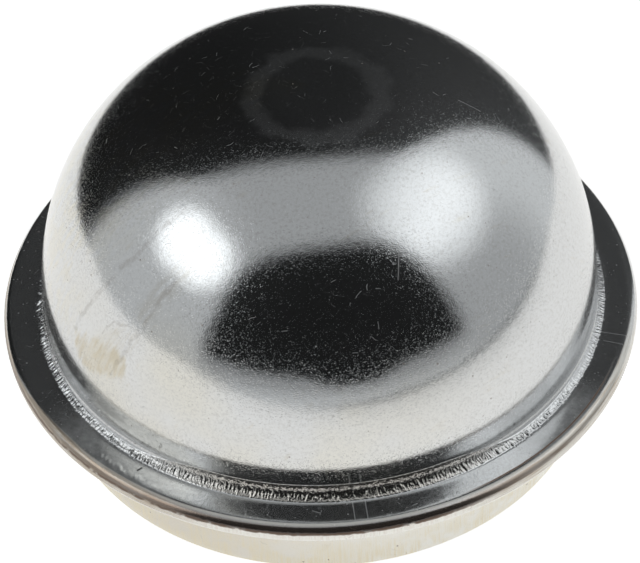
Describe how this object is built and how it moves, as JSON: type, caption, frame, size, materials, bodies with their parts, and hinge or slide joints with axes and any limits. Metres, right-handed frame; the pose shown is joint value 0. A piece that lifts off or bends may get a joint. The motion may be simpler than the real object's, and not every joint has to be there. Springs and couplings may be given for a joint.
{
  "type": "hub grease cap",
  "caption": "Domed sheet-steel cap with a folded flange and a plain skirt that presses into a wheel hub, keeping grease in and dirt out.",
  "frame": {"origin": "centre of the skirt's end, on the cap's axis", "axes": "+Z along the cap's axis, from the skirt's end to the crown"},
  "size_m": [0.07, 0.07, 0.0413],
  "materials": {
    "bright_zinc": "bright zinc plate over drawn steel, finely scratched, with faint tan stains"
  },
  "bodies": {
    "root": {"grease_cap": "bright_zinc"}
  },
  "joints": []
}
